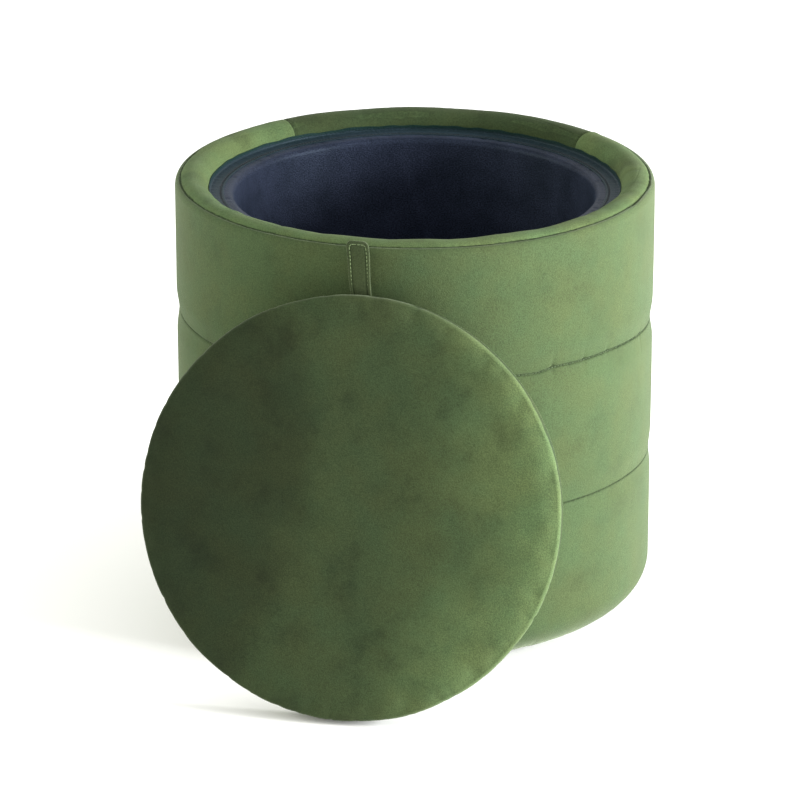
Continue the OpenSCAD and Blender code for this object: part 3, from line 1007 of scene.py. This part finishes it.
def lid_profile():
    """Half outline of the level lid: flat underside, side with a small low rounding that widens
    upwards, a rounding above, and a top that falls gently towards its edge."""
    core = half_width("lid_board")
    low = (core - 0.0018, lid_low + 0.003)
    high_wide, high_tall = 0.0032, 0.0042
    high = (lid_r - high_wide, lid_t - 0.0012 - high_tall)
    quarter = np.radians(np.linspace(0, 90, 12))
    over = high + np.stack([high_wide * np.cos(quarter), high_tall * np.sin(quarter)], -1)
    out = np.linspace(high[0], 0.004, lid_rows, endpoint=False)
    top = np.stack([out, lid_t - 0.0012 * (out / high[0]) ** 4], -1)
    return np.vstack([
        [[0, lid_low]], line((0.004, lid_low), (low[0], lid_low), 24),
        arc(low, 0.003, -90, 0, 5)[:-1],
        line((core + 0.0012, low[1]), (lid_r, high[1]), 9),
        over[:-1], top[:-1], [[0.004, lid_t], [0, lid_t]],
    ])


def inflate(piece, hold, pressure, frames=20):
    """Runs a cloth simulation that blows the closed piece up like a stuffed cushion, with the
    points marked in hold kept still, and gives the new places of its points. No cloth is left on
    it."""
    group = piece.vertex_groups.new(name="held")
    group.add(np.flatnonzero(hold).tolist(), 1.0, "REPLACE")
    cloth = piece.modifiers.new("stuffing", "CLOTH")
    settings = cloth.settings
    settings.vertex_group_mass = "held"
    settings.pin_stiffness = 1.0
    settings.quality = 6
    settings.mass = 0.3
    settings.tension_stiffness = settings.compression_stiffness = 40
    settings.bending_stiffness = 2.0
    settings.use_pressure = True
    settings.uniform_pressure_force = pressure
    settings.effector_weights.gravity = 0
    cloth.point_cache.frame_start, cloth.point_cache.frame_end = 1, frames
    for frame_now in range(1, frames + 1):
        scene.frame_set(frame_now)
    shaped = piece.evaluated_get(bpy.context.evaluated_depsgraph_get()).to_mesh()
    places = np.empty(len(shaped.vertices) * 3, np.float32)
    shaped.vertices.foreach_get("co", places)
    piece.modifiers.remove(cloth)
    piece.vertex_groups.remove(group)
    scene.frame_set(1)
    return places.reshape(-1, 3).astype(float)


def doubled(grid, axis, closed):
    """Subdivides a grid of points once along one axis: each point moves to three quarters of itself
    and an eighth of each neighbour, and new points come halfway between."""
    grid = np.moveaxis(grid, axis, 0)
    if closed:
        before, after = np.roll(grid, 1, axis=0), np.roll(grid, -1, axis=0)
    else:
        before = np.concatenate([grid[:1], grid[:-1]])
        after = np.concatenate([grid[1:], grid[-1:]])
    moved = (before + 6 * grid + after) / 8
    halfway = (grid + after) / 2
    if not closed:
        moved[[0, -1]] = grid[[0, -1]]
    fine = np.stack([moved, halfway], axis=1).reshape(-1, *grid.shape[1:])
    return np.moveaxis(fine if closed else fine[:-1], 0, axis)


def lid_piece():
    """Padded velvet lid. Its top is blown up over the foam by a cloth simulation, subdivided once
    each way, and then gets shallow random hollows, short puckers at its edge and pleats in the
    margin turned in below."""
    profile = lid_profile()
    rows = len(profile) - 2
    piece = turned_disc("lid_cushion_blank", profile, lid_turns)
    blank = piece.data
    flat = np.empty(len(blank.vertices) * 3, np.float32)
    blank.vertices.foreach_get("co", flat)
    flat = flat.reshape(-1, 3).astype(float)
    r = np.hypot(flat[:, 0], flat[:, 1])
    top = np.clip((flat[:, 2] - lid_waist) / 0.008, 0, 1)
    puffed = inflate(piece, flat[:, 2] < lid_waist, 4.0)
    bpy.data.objects.remove(piece)
    bpy.data.meshes.remove(blank)
    move = puffed - flat
    size = np.linalg.norm(move, axis=1)
    cap = 0.0024
    move *= (np.minimum(size, cap) / np.maximum(size, 1e-9))[:, None]
    edge_way = flat[:, :2] / np.maximum(r, 1e-6)[:, None]
    radial = np.clip((move[:, :2] * edge_way).sum(1), -0.0005, 0.0)
    shape = flat.copy()
    shape[:, :2] += edge_way * (radial * top)[:, None]
    shape[:, 2] += np.clip(move[:, 2], -0.0005, cap) * top
    grid = doubled(doubled(shape[:-2].reshape(lid_turns, rows, 3), 0, True), 1, False)
    x, y, z = grid.reshape(-1, 3).T
    r = np.hypot(x, y)
    theta = np.arctan2(y, x)
    top = np.clip((z - lid_waist) / 0.010, 0, 1)
    rng = np.random.default_rng(101)
    hollow = np.zeros_like(x)
    for _ in range(40):
        kx, ky = rng.normal(0, 45, 2)
        hollow += rng.normal() * np.cos(kx * x + ky * y + rng.uniform(0, TAU))
    z = z + 0.00045 * top * hollow / math.sqrt(20) * np.clip(r / 0.01, 0, 1)
    edge = np.exp(-((r - lid_r) / 0.010) ** 2) * np.clip((z - 0.005) / 0.006, 0, 1)
    pucker = creases(theta, 102, 70, 0.014)
    z = z - 0.0006 * pucker * edge * top
    r_new = r - 0.0005 * pucker * edge + 0.0003 * waves(theta, 103, range(2, 18)) * edge
    margin = np.clip((r - 0.150) / 0.010, 0, 1) * np.clip((lid_r - 0.002 - r) / 0.006, 0, 1)
    z = z + 0.0006 * creases(theta, 104, 76, 0.010) * (margin * (z < 0.0026))
    scale = r_new / np.maximum(r, 1e-6)
    level = np.vstack([np.stack([x * scale, y * scale, z], -1), shape[-2:]])
    # Painted shade: the side below the top rounding is darkened as shade on the side wall, and the puckers at the
    # edge are darkened as crease shade
    side = np.clip((0.0205 - z) / 0.002, 0, 1) * np.clip((z - 0.003) / 0.002, 0, 1)
    side *= np.clip((r - lid_r + 0.006) / 0.003, 0, 1)
    crush_and_shade = np.concatenate([0.35 * pucker * edge * top + 0.55 * side, [0, 0]])
    faces = capped_faces(*grid.shape[:2])
    return make_piece("lid_cushion", leaning(level), faces, level[:, :2], crush_and_shade)


dress_soft(lid_piece(), velvet_lid, "lid", 0.8, "lid_cover")
lid_under_r = half_width("lid_dust_cloth")
lid_under = dress(black_cloth_piece("lid_dust_cloth_sewn", lid_under_r, lid_low, place=leaning),
                  black_mat, "lid", "black_cloth", "lid_dust_cloth")


# ---------------------------------------------------------------- pull tab

tab_w = 2 * half_width("pull_tab")
tab_t = 0.0024
tab_end_l = 0.010
# Where the strap leaves the lid's padding, how far from there its fold is, and its whole length
tab_start = lid_r - 0.008
fold_at = np.array(frame["joints"][1]["pos_m"])
fold_along = float(np.dot(fold_at - lid_centre, lid_back)) - tab_start
tab_l = fold_along + tab_end_l + 0.0012
# Distance of the stitching from the strap's edge
stitch_in = 0.0028


def tab_path(s):
    """Middle line of the strap at distances s: it leaves the lid's side, rises a little to clear
    the rim, lies in line with the lid, and bends to the upright over the fold. Gives the distance
    up the lid, the height over its underside, and the direction."""
    bend_at, bend_l = fold_along + 0.0008, 0.012
    fine = np.linspace(0, s.max(), 2000)
    climb = 0.42 * np.exp(-((fine - 0.012) / 0.0075) ** 2)
    turn = climb + lean * np.clip((fine - bend_at + bend_l / 2) / bend_l, 0, 1)
    step = fine[1]
    y = tab_start + np.concatenate([[0], np.cumsum(np.cos(turn[:-1]) * step)])
    h = 0.0135 + np.concatenate([[0], np.cumsum(np.sin(turn[:-1]) * step)])
    return np.interp(s, fine, y), np.interp(s, fine, h), np.interp(s, fine, turn)


def tab_half(s):
    """Half width of the strap at distances s: a little narrower at its root, round at its end."""
    corner = 0.0048
    past = np.clip(s - (tab_l - corner), 0, corner)
    full = tab_w / 2 - 0.0004 - 0.0010 * np.clip(1 - s / 0.04, 0, 1)
    return full - corner + np.sqrt(np.maximum(corner ** 2 - past ** 2, 0.0))


def tab_side(s):
    """Sideways stray of the strap's middle: it leans to the left as it rises."""
    return 0.0004 - 0.0044 * (s / tab_l) ** 1.3


def on_tab(s, x, out):
    """Points on the strap at distances s, x across from its middle and out above its middle layer."""
    y, h, turn = tab_path(s)
    return leaning(np.stack([tab_side(s) + x, y - np.sin(turn) * out, h + np.cos(turn) * out], -1))


def strap_piece():
    """Flat sewn strap: a rounded section carried along the path. Its edges are full rolls, and the
    field inside the stitching is pressed thinner and swells a little in the middle."""
    count, rows = 150, 64
    end = tab_l - 0.006
    s = np.concatenate([np.linspace(0, end, count - 30), np.linspace(end, tab_l, 31)[1:]])
    a = (np.arange(rows) + 0.5) * TAU / rows
    cx = np.sign(np.cos(a)) * np.abs(np.cos(a)) ** 0.42
    cz = np.sign(np.sin(a)) * np.abs(np.sin(a)) ** 0.42
    half = np.maximum(tab_half(s), 0.0006)
    x = cx[None, :] * half[:, None]
    end_gap = (tab_l - s)[:, None]
    to_edge = np.minimum(half[:, None] - np.abs(x), end_gap)
    in_from_line = to_edge - stitch_in
    pressed = 0.0007 * np.exp(-(in_from_line / 0.0007) ** 2) + 0.00025 * (in_from_line > 0)
    roundness = np.sqrt(np.clip(end_gap / 0.0012, 0.02, 1))
    wave = 0.0001 * waves(s * 60, 121, range(1, 9))[:, None]
    out = cz[None, :] * (tab_t / 2 * roundness - pressed) + wave
    flat_s = np.broadcast_to(s[:, None], x.shape)
    points = on_tab(flat_s.ravel(), x.ravel(), out.ravel())
    ends = on_tab(np.array([0.0, tab_l]), np.zeros(2), np.zeros(2))
    points = np.vstack([points, ends])
    i = np.arange(count - 1)[:, None]
    j = np.arange(rows)[None, :]
    nj = (j + 1) % rows
    here, after = i * rows, (i + 1) * rows
    quads = np.stack([after + j, after + nj, here + nj, here + j], -1).reshape(-1, 4)
    near, next_to = j[0], nj[0]
    none = np.full(rows, -1)
    base, last = count * rows + 0 * near, (count - 1) * rows
    first_cap = np.stack([base, near, next_to, none], -1)
    last_cap = np.stack([base + 1, last + next_to, last + near, none], -1)
    uv = np.vstack([np.stack([x.ravel(), flat_s.ravel()], -1), [[0, 0], [0, tab_l]]])
    crush_and_shade = np.concatenate([(0.45 * np.exp(-(in_from_line / 0.0006) ** 2)).ravel(), [0, 0]])
    return make_piece("pull_tab_strap", points, np.vstack([quads, first_cap, last_cap]), uv, crush_and_shade)


def tab_stitches():
    """Light stitches on both faces of the strap: up one side, round the end and down the other, a
    little in from the edge."""
    pitch, corner = 0.0031, 0.003
    half, end = tab_w / 2 - stitch_in, tab_l - stitch_in
    up = np.arange(0.017, end - corner, pitch)
    turn = np.linspace(0, math.pi / 2, 3)
    left = np.stack([np.full_like(up, -half), up], -1)
    bend = np.stack([-(half - corner) - corner * np.cos(turn),
                     end - corner + corner * np.sin(turn)], -1)
    over = np.arange(-(half - corner) + pitch / 2, half - corner, pitch)
    top = np.stack([over, np.full_like(over, end)], -1)
    path = np.vstack([left, bend, top, bend[::-1] * [-1, 1], left[::-1] * [-1, 1]])
    way = np.gradient(path, axis=0)
    way /= np.linalg.norm(way, axis=1)[:, None]
    rows = []
    for side in (1, -1):
        out = side * (tab_t / 2 - 0.00035)
        near, far, above = (
            on_tab(at[:, 1], at[:, 0], height) for at, height in (
                (path - way * 0.0005, out), (path + way * 0.0005, out), (path, out + side * 0.001)))
        middle = (near + far) / 2
        ways = (far - near) / np.linalg.norm(far - near, axis=1)[:, None]
        outs = (above - middle) / np.linalg.norm(above - middle, axis=1)[:, None]
        rows.append((middle, ways, outs))
    middle, ways, outs = (np.vstack(part) for part in zip(*rows))
    return stitches("pull_tab_thread", middle, ways, outs, 0.0021, 0.0008)


strap = strap_piece()
strap.data.materials.append(velvet_tab)
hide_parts("pull_tab", "pull_tab_end")
tab_thread = tab_stitches()
tab_thread.data.materials.append(thread_light)
for piece in (strap, tab_thread):
    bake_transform(piece)


# ---------------------------------------------------------------- frame pieces kept from the CAD

kept = {
    fibreboard: ("base_board", "floor_panel", "drum_shell", "lid_board"),
    plywood: ("battens", "ledge_board"),
    foam_mat: ("wall_foam", "rim_foam", "lid_foam"),
    steel_mat: ("base_screws", "ledge_screws", "cover_staples", "lining_staples", "lid_staples"),
}
for material, names in kept.items():
    for name in names:
        node = frame["nodes"][name]
        node.data.materials.clear()
        node.data.materials.append(material)


# ---------------------------------------------------------------- floor

def studio_floor():
    """Wide flat floor just under the ottoman, a grid of a few faces."""
    n = 9
    g = np.linspace(-14, 14, n)
    x, y = np.meshgrid(g, g, indexing="ij")
    points = np.stack([x, y, np.zeros_like(x)], -1).reshape(-1, 3)
    a = np.arange(n * n).reshape(n, n)[:-1, :-1]
    faces = np.stack([a, a + n, a + n + 1, a + 1], -1).reshape(-1, 4)
    floor = make_piece("studio_floor", points, faces)
    floor.data.materials.append(floor_finish())


studio_floor()
